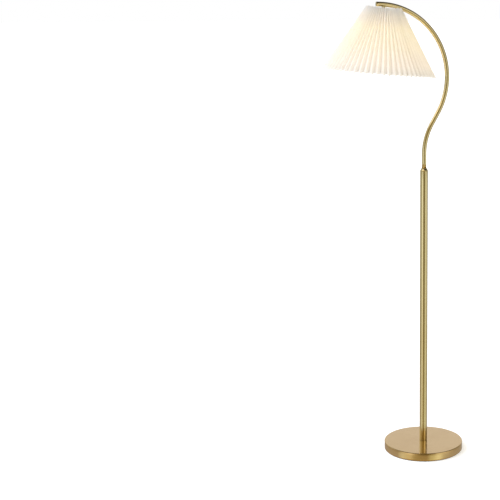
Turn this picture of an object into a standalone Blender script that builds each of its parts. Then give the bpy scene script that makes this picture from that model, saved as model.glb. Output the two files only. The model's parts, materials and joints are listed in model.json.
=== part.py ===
"""Arc floor lamp: a weighted round foot, a straight post, an S-bent arm that swivels on
the post, and a pleated shade that hangs under the arm's tip.

Units are metres and +Z is up. The origin is the centre of the foot's underside, the post
stands on it, and at rest the arm reaches out along -X.
"""
import math

import bmesh
import bpy
from mathutils import Vector

# ---------------------------------------------------------------- driving dimensions
GAP = 0.0003                # between pieces that touch
THREAD_GAP = 0.0003         # between a threaded tube and what it screws into

FOOT_RADIUS = 0.1445
FOOT_TOP = 0.031            # top of the cover, where the post stands
COVER_WALL = 0.0012
COVER_EDGE_RADIUS = 0.002
PAD_RADIUS = 0.141
PAD_THICKNESS = 0.0025
RECESS_RADIUS = 0.022       # pocket under the weight for the nut and the cable's bend
RECESS_TOP = 0.021
CHANNEL_WIDTH = 0.0115      # cable channel from the pocket to the rear
CHANNEL_TOP = 0.0175
GLAND_HEIGHT = 0.0115
GLAND_HOLE_RADIUS = 0.005
GLAND_FLANGE_RADIUS = 0.0064
GLAND_BORE = 0.0031
ROD_RISE = 0.026            # the tie rod above the foot
ROD_LOW = 0.012
BASE_WASHER_RADIUS = 0.015
BASE_WASHER = 0.002
BASE_NUT_CORNER = 0.0084
BASE_NUT = 0.005
PLUG_LENGTH = 0.032

POST_RADIUS = 0.014
POST_WALL = 0.0012
POST_TOP = 1.040
COLLAR_TOP = 1.0505
COLLAR_TOP_RADIUS = 0.0095
BUSH_FLANGE = 0.0009
ROD_RADIUS = 0.005          # M10 threaded tube
ROD_BORE = 0.0037
SWIVEL_BORE = 0.0051        # runs on the M10 tube

ARM_RADIUS = 0.008
ARM_WALL = 0.001
ARM_FOOT_Z = COLLAR_TOP + GAP + BUSH_FLANGE + GAP
ARM_FOOT_STRAIGHT = 0.049
LOWER_BEND_RADIUS = 0.212
LOWER_BEND = math.radians(30.0)       # leans away from the shade
MIDDLE_STRAIGHT = 0.044
UPPER_BEND_RADIUS = 0.252
UPPER_BEND = math.radians(118.9)      # comes back over the post and past it
TIP_STRAIGHT = 0.010
HEAD_FROM_TIP = 0.027                 # the shade's axis crosses the arm here

CABLE_RADIUS = 0.0024
CORE_RADIUS = 0.001
CORE_SPACING = 0.00125                # each core's distance from the nipple's axis
CABLE_SPLIT_Z = 0.9965                # the cable turns with the arm above this height

NIPPLE_RADIUS = 0.004                 # M8 threaded tube in the head
NIPPLE_BORE = 0.0028

SHADE_RIDGE_TOP = (0.0615, 0.0090)    # (radius, depth below the arm's centre line)
SHADE_RIDGE_BOTTOM = (0.2000, 0.2358)
SHADE_VALLEY_TOP = (0.0533, 0.0160)
SHADE_VALLEY_BOTTOM = (0.1888, 0.2305)
SHADE_DIP = 0.0180                    # the pleats under the arm are pressed down to here
PLEATS = 62
FABRIC = 0.0008
RING_WIRE = 0.0016
TOP_RING = (0.0519, 0.0190)
BOTTOM_RING = (0.1826, 0.2260)
SPOKES = 3
SPOKE_WIRE = 0.0015
RIB_WIRE = 0.0012

BULB_RADIUS = 0.030
BULB_NECK = 0.0120
BULB_CENTRE = 0.1090                  # depths below the arm's centre line
BULB_CAP_TOP = 0.0405
BULB_CAP_BOTTOM = 0.0655
GLASS_WALL = 0.0010

ROUND_LARGE = 48
ROUND_MEDIUM = 24
ROUND_SMALL = 16
ROUND_TINY = 8

# name: (base colour, metallic, roughness)
FINISHES = {
    "brass": ((0.52, 0.40, 0.20, 1.0), 1.0, 0.32),
    "satin_brass": ((0.60, 0.46, 0.26, 1.0), 1.0, 0.42),
    "raw_brass": ((0.62, 0.47, 0.20, 1.0), 1.0, 0.35),
    "steel": ((0.55, 0.55, 0.56, 1.0), 1.0, 0.35),
    "white_wire": ((0.85, 0.84, 0.82, 1.0), 0.0, 0.45),
    "cement": ((0.42, 0.41, 0.39, 1.0), 0.0, 0.95),
    "pad": ((0.03, 0.03, 0.03, 1.0), 0.0, 0.9),
    "black_plastic": ((0.03, 0.03, 0.03, 1.0), 0.0, 0.5),
    "white_plastic": ((0.82, 0.81, 0.78, 1.0), 0.0, 0.4),
    "ceramic": ((0.86, 0.84, 0.80, 1.0), 0.0, 0.3),
    "cable": ((0.75, 0.73, 0.68, 1.0), 0.0, 0.6),
    "core_brown": ((0.20, 0.09, 0.04, 1.0), 0.0, 0.5),
    "core_blue": ((0.05, 0.12, 0.40, 1.0), 0.0, 0.5),
    "fabric": ((0.93, 0.88, 0.80, 1.0), 0.0, 0.85),
    "opal_glass": ((0.97, 0.95, 0.90, 1.0), 0.0, 0.3),
}


# ---------------------------------------------------------------- scene and materials
def clear_scene():
    for obj in list(bpy.data.objects):
        bpy.data.objects.remove(obj, do_unlink=True)


def new_collection(name):
    collection = bpy.data.collections.new(name)
    bpy.context.scene.collection.children.link(collection)
    return collection


def make_material(name, finish):
    colour, metallic, roughness = FINISHES[finish]
    material = bpy.data.materials.new(name)
    material.use_nodes = True
    shader = material.node_tree.nodes["Principled BSDF"]
    shader.inputs["Base Color"].default_value = colour
    shader.inputs["Metallic"].default_value = metallic
    shader.inputs["Roughness"].default_value = roughness
    material.diffuse_color = colour
    return material


clear_scene()
LAMP = new_collection("arc_floor_lamp")
CUTTERS = new_collection("cutters")


# ---------------------------------------------------------------- the arm's centre line
ARM_RUNS = (                          # (length, change of lean)
    (ARM_FOOT_STRAIGHT, 0.0),
    (LOWER_BEND_RADIUS * LOWER_BEND, LOWER_BEND),
    (MIDDLE_STRAIGHT, 0.0),
    (UPPER_BEND_RADIUS * UPPER_BEND, -UPPER_BEND),
    (TIP_STRAIGHT, 0.0),
)
ARM_LENGTH = sum(length for length, turn in ARM_RUNS)
BEND_STEP = math.radians(6.0)


def arm_at(distance):
    """Point on the arm's centre line and its lean, the angle from +Z towards +X."""
    x, z, lean = 0.0, ARM_FOOT_Z, 0.0
    for length, turn in ARM_RUNS:
        part = min(distance, length)
        if turn == 0.0:
            x += part * math.sin(lean)
            z += part * math.cos(lean)
        else:
            radius = length / turn
            end = lean + part / radius
            x += radius * (math.cos(lean) - math.cos(end))
            z += radius * (math.sin(end) - math.sin(lean))
            lean = end
        distance -= part
        if distance <= 0.0:
            break
    return Vector((x, 0.0, z)), lean


def arm_stations(last):
    """Distances along the arm, close together in the bends, up to the distance last."""
    stations = [0.0]
    start = 0.0
    for length, turn in ARM_RUNS:
        steps = max(1, math.ceil(abs(turn) / BEND_STEP))
        stations += [start + length * i / steps for i in range(1, steps + 1)]
        start += length
    return [s for s in stations if s < last - GAP] + [last]


HEAD_POINT, HEAD_LEAN = arm_at(ARM_LENGTH - HEAD_FROM_TIP)
HEAD_TILT = HEAD_LEAN + math.pi / 2   # the shade's axis stands square to the arm there


# ---------------------------------------------------------------- modelling helpers
def add_empty(name, location, tilt=0.0, parent=None):
    empty = bpy.data.objects.new(name, None)
    LAMP.objects.link(empty)
    empty.empty_display_size = 0.03
    empty.parent = parent
    empty.location = location
    empty.rotation_euler = (0.0, tilt, 0.0)
    return empty


def add_part(name, mesh, finish, parent=None, location=(0, 0, 0), rotation=(0, 0, 0)):
    part = bpy.data.objects.new(name, mesh)
    LAMP.objects.link(part)
    mesh.materials.append(make_material(name, finish))
    part.parent = parent
    part.location = location
    part.rotation_euler = rotation
    return part


def smooth(mesh, angle=35.0):
    mesh.shade_smooth()
    mesh.set_sharp_from_angle(angle=math.radians(angle))


def turn_profile(part, segments):
    screw = part.modifiers.new("turned", "SCREW")
    screw.axis = "Z"
    screw.angle = 2 * math.pi
    screw.screw_offset = 0.0
    screw.steps = segments
    screw.render_steps = segments
    screw.use_merge_vertices = True
    screw.merge_threshold = 0.00001
    screw.use_smooth_shade = True


def turned(name, profile, finish, segments, closed=True, **placing):
    """A turned piece. The profile (radius, z) runs down its outer side and, when it is
    closed, back up its bore."""
    count = len(profile)
    edges = [(i, i + 1) for i in range(count - 1)]
    if closed:
        edges.append((count - 1, 0))
    mesh = bpy.data.meshes.new(name)
    mesh.from_pydata([(radius, 0.0, z) for radius, z in profile], edges, [])
    part = add_part(name, mesh, finish, **placing)
    turn_profile(part, segments)
    return part


def tube_profile(outer, inner, top, bottom):
    return [(outer, top), (outer, bottom), (inner, bottom), (inner, top)]


def arc(centre_radius, centre_z, radius, start, end, steps):
    """Points of a profile's arc, angles in degrees from the outward direction."""
    points = []
    for i in range(steps + 1):
        angle = math.radians(start + (end - start) * i / steps)
        points.append((centre_radius + radius * math.cos(angle),
                       centre_z + radius * math.sin(angle)))
    return points


def cylinder_mesh(name, radius, depth, segments):
    mesh = bpy.data.meshes.new(name)
    bm = bmesh.new()
    bmesh.ops.create_cone(bm, cap_ends=True, segments=segments, radius1=radius,
                          radius2=radius, depth=depth)
    bm.to_mesh(mesh)
    bm.free()
    return mesh


def box_mesh(name, size):
    mesh = bpy.data.meshes.new(name)
    bm = bmesh.new()
    bmesh.ops.create_cube(bm, size=1.0)
    bmesh.ops.scale(bm, vec=size, verts=bm.verts)
    bm.to_mesh(mesh)
    bm.free()
    return mesh


def add_cutter(name, mesh, parent=None, location=(0, 0, 0), rotation=(0, 0, 0)):
    cutter = bpy.data.objects.new(name, mesh)
    CUTTERS.objects.link(cutter)
    cutter.parent = parent
    cutter.location = location
    cutter.rotation_euler = rotation
    cutter.hide_render = True
    cutter.display_type = "WIRE"
    return cutter


def cut(part, cutter):
    boolean = part.modifiers.new(cutter.name, "BOOLEAN")
    boolean.operation = "DIFFERENCE"
    boolean.solver = "EXACT"
    boolean.object = cutter


def wire_curve(name, points, radius, bevel_resolution, caps=True):
    curve = bpy.data.curves.new(name, "CURVE")
    curve.dimensions = "3D"
    curve.bevel_depth = radius
    curve.bevel_resolution = bevel_resolution
    curve.use_fill_caps = caps
    spline = curve.splines.new("POLY")
    spline.points.add(len(points) - 1)
    for point, position in zip(spline.points, points):
        point.co = (*position, 1.0)
    return curve


def wire(name, points, radius, finish, bevel_resolution=2, **placing):
    return add_part(name, wire_curve(name, points, radius, bevel_resolution), finish,
                    **placing)


def ring(name, radius, wire_radius, depth, finish, parent):
    bpy.ops.mesh.primitive_torus_add(major_segments=ROUND_LARGE, minor_segments=6,
                                     major_radius=radius, minor_radius=wire_radius)
    part = bpy.context.object
    for collection in part.users_collection:
        collection.objects.unlink(part)
    LAMP.objects.link(part)
    part.name = name
    part.data.name = name
    part.data.materials.append(make_material(name, finish))
    part.parent = parent
    part.location = (0.0, 0.0, -depth)
    smooth(part.data, 60.0)
    return part


# ---------------------------------------------------------------- foot
def build_foot():
    underside = PAD_THICKNESS + GAP
    pad = add_part("base_pad", cylinder_mesh("base_pad", PAD_RADIUS, PAD_THICKNESS, ROUND_LARGE),
                   "pad", location=(0, 0, PAD_THICKNESS / 2))
    smooth(pad.data)

    edge = COVER_EDGE_RADIUS
    cover_profile = [(ROD_RADIUS + THREAD_GAP, FOOT_TOP)]
    cover_profile += arc(FOOT_RADIUS - edge, FOOT_TOP - edge, edge, 90, 0, 4)
    cover_profile += [(FOOT_RADIUS, underside), (FOOT_RADIUS - COVER_WALL, underside)]
    cover_profile += arc(FOOT_RADIUS - edge, FOOT_TOP - edge, edge - COVER_WALL, 0, 90, 2)
    cover_profile += [(ROD_RADIUS + THREAD_GAP, FOOT_TOP - COVER_WALL)]
    cover = turned("base_cover", cover_profile, "satin_brass", ROUND_LARGE)

    weight_radius = FOOT_RADIUS - COVER_WALL - GAP
    weight_top = FOOT_TOP - COVER_WALL - GAP
    weight_profile = [(ROD_RADIUS + THREAD_GAP, weight_top), (weight_radius - edge, weight_top),
                      (weight_radius, weight_top - edge), (weight_radius, underside),
                      (RECESS_RADIUS, underside), (RECESS_RADIUS, RECESS_TOP),
                      (ROD_RADIUS + THREAD_GAP, RECESS_TOP)]
    weight = turned("base_weight", weight_profile, "cement", ROUND_LARGE)
    channel_height = CHANNEL_TOP - underside + 0.002
    channel = add_cutter("cable_channel",
                         box_mesh("cable_channel", (CHANNEL_WIDTH, FOOT_RADIUS, channel_height)),
                         location=(0, RECESS_RADIUS - 0.004 + FOOT_RADIUS / 2,
                                   CHANNEL_TOP - channel_height / 2))
    cut(weight, channel)

    gland_hole = add_cutter("gland_hole",
                            cylinder_mesh("gland_hole", GLAND_HOLE_RADIUS, 0.02, ROUND_SMALL),
                            location=(0, FOOT_RADIUS, GLAND_HEIGHT),
                            rotation=(math.pi / 2, 0, 0))
    cut(cover, gland_hole)
    build_gland()
    build_tie_rod()


def build_gland():
    """A snap-in cable bush. It is turned about the axis that points out of the rear."""
    wall_out = FOOT_RADIUS + GAP
    wall_in = FOOT_RADIUS - COVER_WALL - 2 * GAP
    body = GLAND_HOLE_RADIUS - GAP
    flange = 0.0022
    chamfer = 0.0010
    snap = 0.0004
    tail = wall_in - 0.003
    profile = [(GLAND_FLANGE_RADIUS - chamfer, wall_out + flange),
               (GLAND_FLANGE_RADIUS, wall_out + flange - chamfer),
               (GLAND_FLANGE_RADIUS, wall_out), (body, wall_out), (body, wall_in),
               (body + snap, wall_in - snap), (body, tail), (GLAND_BORE, tail),
               (GLAND_BORE, wall_out + flange)]
    turned("cable_gland", profile, "black_plastic", ROUND_SMALL,
           location=(0, 0, GLAND_HEIGHT), rotation=(-math.pi / 2, 0, 0))


def build_tie_rod():
    """The threaded tube that clamps the post to the foot, with its washer and nut."""
    hole = ROD_RADIUS + THREAD_GAP
    washer_top = RECESS_TOP - GAP
    washer_bottom = washer_top - BASE_WASHER
    turned("base_tie_rod", tube_profile(ROD_RADIUS, ROD_BORE, FOOT_TOP + ROD_RISE, ROD_LOW),
           "steel", ROUND_SMALL)
    turned("base_washer", tube_profile(BASE_WASHER_RADIUS, hole, washer_top, washer_bottom),
           "steel", ROUND_MEDIUM)
    hex_nut("base_nut", BASE_NUT_CORNER, hole, BASE_NUT,
            location=(0, 0, washer_bottom - GAP - BASE_NUT / 2))
    plug_bottom = FOOT_TOP + GAP
    plug_radius = POST_RADIUS - POST_WALL - GAP
    turned("post_foot_plug",
           tube_profile(plug_radius, hole, plug_bottom + PLUG_LENGTH, plug_bottom),
           "steel", ROUND_MEDIUM)


def hex_nut(name, corner_radius, hole_radius, height, **placing):
    nut = add_part(name, cylinder_mesh(name, corner_radius, height, 6), "steel", **placing)
    hole = add_cutter(name + "_hole",
                      cylinder_mesh(name + "_hole", hole_radius, 3 * height, ROUND_SMALL),
                      **placing)
    cut(nut, hole)
    return nut


# ---------------------------------------------------------------- post and swivel
COLLAR_BOTTOM = POST_TOP - 0.030
COLLAR_BORE = 0.0073
BUSH_RADIUS = 0.0084
STOP_PIN_RADIUS = 0.001
STOP_PIN_LENGTH = 0.008
STOP_PIN_HOLE = 0.0062
STOP_PIN_OFFSET = 0.009               # from the swivel's axis
STOP_TAB_WIDTH = 0.003
STOP_TAB_END = 0.0104
STOP_PLATE_RADIUS = 0.0074
STOP_PLATE = 0.0015
SPRING_WASHER_RADIUS = 0.0076
SPRING_WASHER = 0.001
LOCK_NUT_CORNER = 0.0081
LOCK_NUT = 0.004
ARM_INSERT = (0.0005, 0.020)          # from and to, above the arm's foot
SWIVEL_NIPPLE_TOP = 0.017
SWIVEL_NIPPLE_TAIL = 0.012            # below the collar


def build_post():
    turned("post_tube",
           tube_profile(POST_RADIUS, POST_RADIUS - POST_WALL, POST_TOP, FOOT_TOP + GAP),
           "brass", ROUND_MEDIUM)
    spigot = POST_RADIUS - POST_WALL - GAP
    shoulder = POST_TOP + GAP
    collar = turned("post_collar",
                    [(COLLAR_TOP_RADIUS - 0.0006, COLLAR_TOP),
                     (COLLAR_TOP_RADIUS, COLLAR_TOP - 0.0006),
                     (POST_RADIUS - 0.0004, shoulder + 0.0024), (POST_RADIUS, shoulder + 0.0016),
                     (POST_RADIUS, shoulder), (spigot, shoulder), (spigot, COLLAR_BOTTOM),
                     (COLLAR_BORE, COLLAR_BOTTOM), (COLLAR_BORE, COLLAR_TOP)],
                    "brass", ROUND_MEDIUM)
    pin_hole = add_cutter("stop_pin_hole",
                          cylinder_mesh("stop_pin_hole", STOP_PIN_RADIUS + GAP,
                                        2 * STOP_PIN_HOLE, ROUND_TINY),
                          location=(STOP_PIN_OFFSET, 0, COLLAR_BOTTOM))
    cut(collar, pin_hole)
    pin_z = COLLAR_BOTTOM + STOP_PIN_HOLE - GAP - STOP_PIN_LENGTH / 2
    pin = add_part("stop_pin",
                   cylinder_mesh("stop_pin", STOP_PIN_RADIUS, STOP_PIN_LENGTH, ROUND_TINY),
                   "steel", location=(STOP_PIN_OFFSET, 0, pin_z))
    smooth(pin.data)
    sleeve = COLLAR_BORE - GAP
    flange_top = COLLAR_TOP + GAP + BUSH_FLANGE
    turned("swivel_bush",
           [(BUSH_RADIUS, flange_top), (BUSH_RADIUS, COLLAR_TOP + GAP),
            (sleeve, COLLAR_TOP + GAP), (sleeve, COLLAR_BOTTOM + GAP),
            (SWIVEL_BORE, COLLAR_BOTTOM + GAP), (SWIVEL_BORE, flange_top)],
           "raw_brass", ROUND_MEDIUM)


def build_swivel(arm_root):
    """What turns with the arm inside the post: its z is counted from the arm's foot."""
    collar_under = COLLAR_BOTTOM - ARM_FOOT_Z
    hole = ROD_RADIUS + THREAD_GAP
    turned("arm_foot_insert",
           tube_profile(ARM_RADIUS - ARM_WALL - GAP, hole, ARM_INSERT[1], ARM_INSERT[0]),
           "steel", ROUND_SMALL, parent=arm_root)
    turned("swivel_nipple",
           tube_profile(ROD_RADIUS, ROD_BORE, SWIVEL_NIPPLE_TOP,
                        collar_under - SWIVEL_NIPPLE_TAIL),
           "steel", ROUND_SMALL, parent=arm_root)
    plate_z = collar_under - GAP - STOP_PLATE / 2
    stop = add_part("stop_washer", stop_plate_mesh(), "steel", parent=arm_root,
                    location=(0, 0, plate_z))
    cut(stop, add_cutter("stop_washer_hole",
                         cylinder_mesh("stop_washer_hole", hole, 3 * STOP_PLATE, ROUND_SMALL),
                         parent=arm_root, location=(0, 0, plate_z)))
    spring_top = plate_z - STOP_PLATE / 2 - GAP
    turned("spring_washer",
           tube_profile(SPRING_WASHER_RADIUS, hole, spring_top, spring_top - SPRING_WASHER),
           "steel", ROUND_SMALL, parent=arm_root)
    nut_z = spring_top - SPRING_WASHER - GAP - LOCK_NUT / 2
    hex_nut("swivel_lock_nut", LOCK_NUT_CORNER, hole, LOCK_NUT, parent=arm_root,
            location=(0, 0, nut_z))


def stop_plate_mesh():
    """A washer with one tab, as a flat outline given its thickness."""
    radius = STOP_PLATE_RADIUS
    half = math.asin(STOP_TAB_WIDTH / 2 / radius)
    steps = 20
    outline = [(-STOP_TAB_END, -STOP_TAB_WIDTH / 2), (-STOP_TAB_END, STOP_TAB_WIDTH / 2)]
    for i in range(steps + 1):
        angle = math.pi - half - (2 * math.pi - 2 * half) * i / steps
        outline.append((radius * math.cos(angle), radius * math.sin(angle)))
    mesh = bpy.data.meshes.new("stop_washer")
    bm = bmesh.new()
    face = bm.faces.new([bm.verts.new((x, y, -STOP_PLATE / 2)) for x, y in outline])
    extruded = bmesh.ops.extrude_face_region(bm, geom=[face])
    top = [item for item in extruded["geom"] if isinstance(item, bmesh.types.BMVert)]
    bmesh.ops.translate(bm, vec=(0, 0, STOP_PLATE), verts=top)
    bmesh.ops.recalc_face_normals(bm, faces=bm.faces)
    bm.to_mesh(mesh)
    bm.free()
    return mesh


# ---------------------------------------------------------------- arm
def arm_local(distance):
    """Centre-line point counted from the arm's foot, where the arm's own origin is."""
    return arm_at(distance)[0] - Vector((0, 0, ARM_FOOT_Z))


def build_arm(arm_root, head_root):
    points = [arm_local(s) for s in arm_stations(ARM_LENGTH)]
    curve = wire_curve("arm_skin", points, ARM_RADIUS, 6, caps=False)
    guide = bpy.data.objects.new("arm_skin", curve)
    LAMP.objects.link(guide)
    depsgraph = bpy.context.evaluated_depsgraph_get()
    mesh = bpy.data.meshes.new_from_object(guide.evaluated_get(depsgraph))
    bpy.data.objects.remove(guide)
    mesh.name = "arm_tube"
    smooth(mesh)
    arm = add_part("arm_tube", mesh, "brass", parent=arm_root)
    wall = arm.modifiers.new("wall", "SOLIDIFY")
    wall.thickness = ARM_WALL
    wall.offset = -1.0
    wall.use_even_offset = True
    nipple_hole = add_cutter("arm_nipple_hole",
                             cylinder_mesh("arm_nipple_hole", NIPPLE_RADIUS + GAP, 0.012,
                                           ROUND_SMALL),
                             parent=head_root, location=(0, 0, -0.008))
    cut(arm, nipple_hole)

    tip, lean = arm_at(ARM_LENGTH)
    spigot = ARM_RADIUS - ARM_WALL - 2 * GAP
    turned("arm_end_cap",
           [(0.0, 0.0018), (ARM_RADIUS - 0.0008, 0.0018), (ARM_RADIUS, 0.0010),
            (ARM_RADIUS, GAP), (spigot, GAP), (spigot, -0.007), (0.0, -0.007)],
           "brass", ROUND_SMALL, closed=False, parent=arm_root,
           location=tip - Vector((0, 0, ARM_FOOT_Z)), rotation=(0, lean, 0))


# ---------------------------------------------------------------- head and lamp holder
BLOCK_TOP = 0.001                     # depths below the arm's centre line, as all here
BLOCK_LENGTH = 0.018
CAP_TOP = 0.0123
CAP_WALL = 0.0012
CAP_RIM = 0.036
CAP_RADIUS = 0.021
BODY_RADIUS = 0.0194
INSULATOR_TOP = 0.0275
INSULATOR_BOTTOM = 0.033
FITTER_TOP = CAP_RIM + GAP
FITTER_BOTTOM = FITTER_TOP + 0.0023
FITTER_RADIUS = 0.0235
RING_NUT_TOP = FITTER_BOTTOM + GAP
RING_NUT_RADIUS = 0.0248
RING_NUT = 0.0064                     # its height
SADDLE_RADIUS = 0.008
SADDLE_TOP = 0.0055
HEAD_NIPPLE_ENDS = (0.0016, 0.019)
HEAD_NUT_CORNER = 0.0070
HEAD_NUT = 0.0035
TERMINAL_OFFSET = 0.006               # each terminal's distance from the holder's axis
TERMINAL_HEIGHT = 0.0030
BODY_BOTTOM = 0.070
BODY_BORE = 0.0153
SCREW_SHELL_RADIUS = 0.0145
SCREW_SHELL_WALL = 0.0007
SCREW_SHELL_END = 0.063
CONTACT_END = 0.0364
BULB_TIP = 0.0367


def build_head(head):
    hole = NIPPLE_RADIUS + GAP
    block = add_part("head_block",
                     cylinder_mesh("head_block", ARM_RADIUS - ARM_WALL - 0.0008, BLOCK_LENGTH,
                                   ROUND_SMALL),
                     "raw_brass", parent=head, rotation=(0, math.pi / 2, 0))
    smooth(block.data)
    cut(block, add_cutter("head_block_top", box_mesh("head_block_top", (0.03, 0.02, 0.01)),
                          parent=head, location=(0, 0, 0.005 - BLOCK_TOP)))
    cut(block, add_cutter("head_block_thread",
                          cylinder_mesh("head_block_thread", hole, 0.02, ROUND_SMALL),
                          parent=head, location=(0, 0, -0.005)))
    saddle = turned("head_saddle",
                    tube_profile(SADDLE_RADIUS, hole, -SADDLE_TOP, -(CAP_TOP - GAP)),
                    "brass", ROUND_SMALL, parent=head)
    cut(saddle, add_cutter("saddle_seat",
                           cylinder_mesh("saddle_seat", ARM_RADIUS + 2 * GAP, 0.03, ROUND_MEDIUM),
                           parent=head, rotation=(0, math.pi / 2, 0)))
    nipple_top, nipple_bottom = HEAD_NIPPLE_ENDS
    turned("head_nipple",
           tube_profile(NIPPLE_RADIUS, NIPPLE_BORE, -nipple_top, -nipple_bottom), "steel",
           ROUND_SMALL, parent=head)
    hex_nut("head_nut", HEAD_NUT_CORNER, hole, HEAD_NUT, parent=head,
            location=(0, 0, -(CAP_TOP + CAP_WALL + GAP + HEAD_NUT / 2)))
    build_holder(head, hole)


def build_holder(head, hole):
    shoulder = 0.009
    dome = CAP_RADIUS - shoulder
    inner_dome = dome - CAP_WALL
    cap_profile = [(hole, -CAP_TOP)]
    cap_profile += arc(shoulder, -CAP_TOP - dome, dome, 90, 0, 6)
    cap_profile += [(CAP_RADIUS, -CAP_RIM), (CAP_RADIUS - CAP_WALL, -CAP_RIM)]
    cap_profile += arc(shoulder, -CAP_TOP - dome, inner_dome, 0, 90, 5)
    cap_profile += [(hole, -CAP_TOP - CAP_WALL)]
    turned("holder_cap", cap_profile, "brass", ROUND_MEDIUM, parent=head)

    disc = 0.0185
    chamfer = 0.0005
    turned("holder_insulator",
           [(0.0, -INSULATOR_TOP), (disc - chamfer, -INSULATOR_TOP),
            (disc, -INSULATOR_TOP - chamfer), (disc, -INSULATOR_BOTTOM),
            (0.0, -INSULATOR_BOTTOM)],
           "ceramic", ROUND_MEDIUM, closed=False, parent=head)
    terminal_z = -(INSULATOR_TOP - GAP - TERMINAL_HEIGHT / 2)
    for number, side in ((1, 1), (2, -1)):
        name = f"holder_terminal_{number}"
        add_part(name, box_mesh(name, (0.005, 0.004, TERMINAL_HEIGHT)), "raw_brass",
                 parent=head, location=(0, side * TERMINAL_OFFSET, terminal_z))

    body_top = INSULATOR_BOTTOM + GAP
    bevel = 0.0008
    turned("holder_body",
           [(BODY_RADIUS, -body_top), (BODY_RADIUS, -BODY_BOTTOM + 2 * bevel),
            (BODY_RADIUS - bevel, -BODY_BOTTOM), (BODY_BORE + bevel, -BODY_BOTTOM),
            (BODY_BORE, -BODY_BOTTOM + bevel), (BODY_BORE, -body_top)],
           "white_plastic", ROUND_MEDIUM, parent=head)
    shell = SCREW_SHELL_RADIUS
    shell_top = body_top + GAP
    lip = 0.0005
    turned("holder_screw_shell",
           [(shell + lip, -shell_top), (shell + lip, -shell_top - bevel),
            (shell, -shell_top - bevel), (shell, -SCREW_SHELL_END),
            (shell - SCREW_SHELL_WALL, -SCREW_SHELL_END),
            (shell - SCREW_SHELL_WALL, -shell_top)],
           "raw_brass", ROUND_MEDIUM, parent=head)
    turned("holder_contact",
           [(0.0, -body_top), (0.0032, -body_top), (0.0028, -CONTACT_END + 0.0012),
            (0.0018, -CONTACT_END), (0.0, -CONTACT_END)],
           "raw_brass", ROUND_TINY, closed=False, parent=head)
    ring_nut_bottom = RING_NUT_TOP + RING_NUT
    turned("shade_ring_nut",
           [(RING_NUT_RADIUS - bevel, -RING_NUT_TOP), (RING_NUT_RADIUS, -RING_NUT_TOP - bevel),
            (RING_NUT_RADIUS, -ring_nut_bottom + bevel),
            (RING_NUT_RADIUS - bevel, -ring_nut_bottom),
            (BODY_RADIUS + THREAD_GAP, -ring_nut_bottom),
            (BODY_RADIUS + THREAD_GAP, -RING_NUT_TOP)],
           "white_plastic", ROUND_MEDIUM, parent=head)


# ---------------------------------------------------------------- bulb
def build_bulb(head):
    contact_radius = 0.0048
    contact_bottom = BULB_TIP + 0.0015
    turned("bulb_contact",
           [(0.0, -BULB_TIP), (0.0030, -BULB_TIP), (contact_radius, -BULB_TIP - 0.0008),
            (contact_radius, -contact_bottom), (0.0, -contact_bottom)],
           "raw_brass", ROUND_SMALL, closed=False, parent=head)
    insulator_radius = 0.0094
    insulator_top = contact_bottom + GAP
    insulator_bottom = BULB_CAP_TOP + 0.0012
    turned("bulb_insulator",
           [(0.0, -insulator_top), (0.0052, -insulator_top),
            (insulator_radius, -BULB_CAP_TOP + 0.0002), (insulator_radius, -insulator_bottom),
            (0.0, -insulator_bottom)],
           "black_plastic", ROUND_SMALL, closed=False, parent=head)
    build_bulb_cap(head)

    neck_blend = BULB_RADIUS
    blend_height = math.sqrt((BULB_RADIUS + neck_blend) ** 2 - (BULB_NECK + neck_blend) ** 2)
    meet = math.degrees(math.asin(blend_height / (BULB_RADIUS + neck_blend)))
    neck_top = -BULB_CAP_BOTTOM + 0.006
    profile = [(BULB_NECK, neck_top)]
    profile += arc(BULB_NECK + neck_blend, -BULB_CENTRE + blend_height, neck_blend,
                   180, 180 + meet, 4)
    profile += arc(0.0, -BULB_CENTRE, BULB_RADIUS, meet, -90, 10)[1:]
    profile += arc(0.0, -BULB_CENTRE, BULB_RADIUS - GLASS_WALL, -90, meet, 10)
    profile += arc(BULB_NECK + neck_blend, -BULB_CENTRE + blend_height,
                   neck_blend + GLASS_WALL, 180 + meet, 180, 4)[1:]
    profile += [(BULB_NECK - GLASS_WALL, neck_top)]
    glass_profile = [(max(radius, 0.0), z) for radius, z in profile]
    outer_pole = next(i for i, point in enumerate(glass_profile) if point[0] < 0.00001)
    outer = glass_profile[:outer_pole + 1]
    inner = glass_profile[outer_pole + 1:]
    turned_shell("bulb_glass", outer, inner, "opal_glass", ROUND_SMALL, head)


def turned_shell(name, outer, inner, finish, segments, parent):
    """A cup whose outer and inner profiles both end on the axis and meet at its mouth."""
    profile = outer + inner
    edges = [(i, i + 1) for i in range(len(outer) - 1)]
    edges += [(i, i + 1) for i in range(len(outer), len(profile) - 1)]
    edges.append((len(profile) - 1, 0))
    mesh = bpy.data.meshes.new(name)
    mesh.from_pydata([(radius, 0.0, z) for radius, z in profile], edges, [])
    part = add_part(name, mesh, finish, parent=parent)
    turn_profile(part, segments)
    return part


def build_bulb_cap(head):
    """The E27 cap: a shell with a rolled thread, open at both ends."""
    crest, root, wall = 0.0132, 0.0125, 0.0003
    turns = 3
    thread_top = BULB_CAP_TOP + 0.0030
    pitch = (BULB_CAP_BOTTOM - 0.006 - thread_top) / turns
    outer = [(0.0099, -BULB_CAP_TOP), (0.0112, -BULB_CAP_TOP - 0.0006), (root, -thread_top)]
    for i in range(turns):
        start = thread_top + i * pitch
        outer += [(crest, -start - 0.3 * pitch), (crest, -start - 0.6 * pitch),
                  (root, -start - pitch)]
    outer.append((root + 0.0004, -BULB_CAP_BOTTOM))
    inner = [(radius - wall, z) for radius, z in reversed(outer)]
    turned("bulb_cap", outer + inner, "steel", ROUND_SMALL, parent=head)


# ---------------------------------------------------------------- shade
def polar(radius, angle, depth):
    return Vector((radius * math.cos(angle), radius * math.sin(angle), -depth))


def trimmed(start, end, start_trim, end_trim):
    direction = (end - start).normalized()
    return [start + direction * start_trim, end - direction * end_trim]


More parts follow.
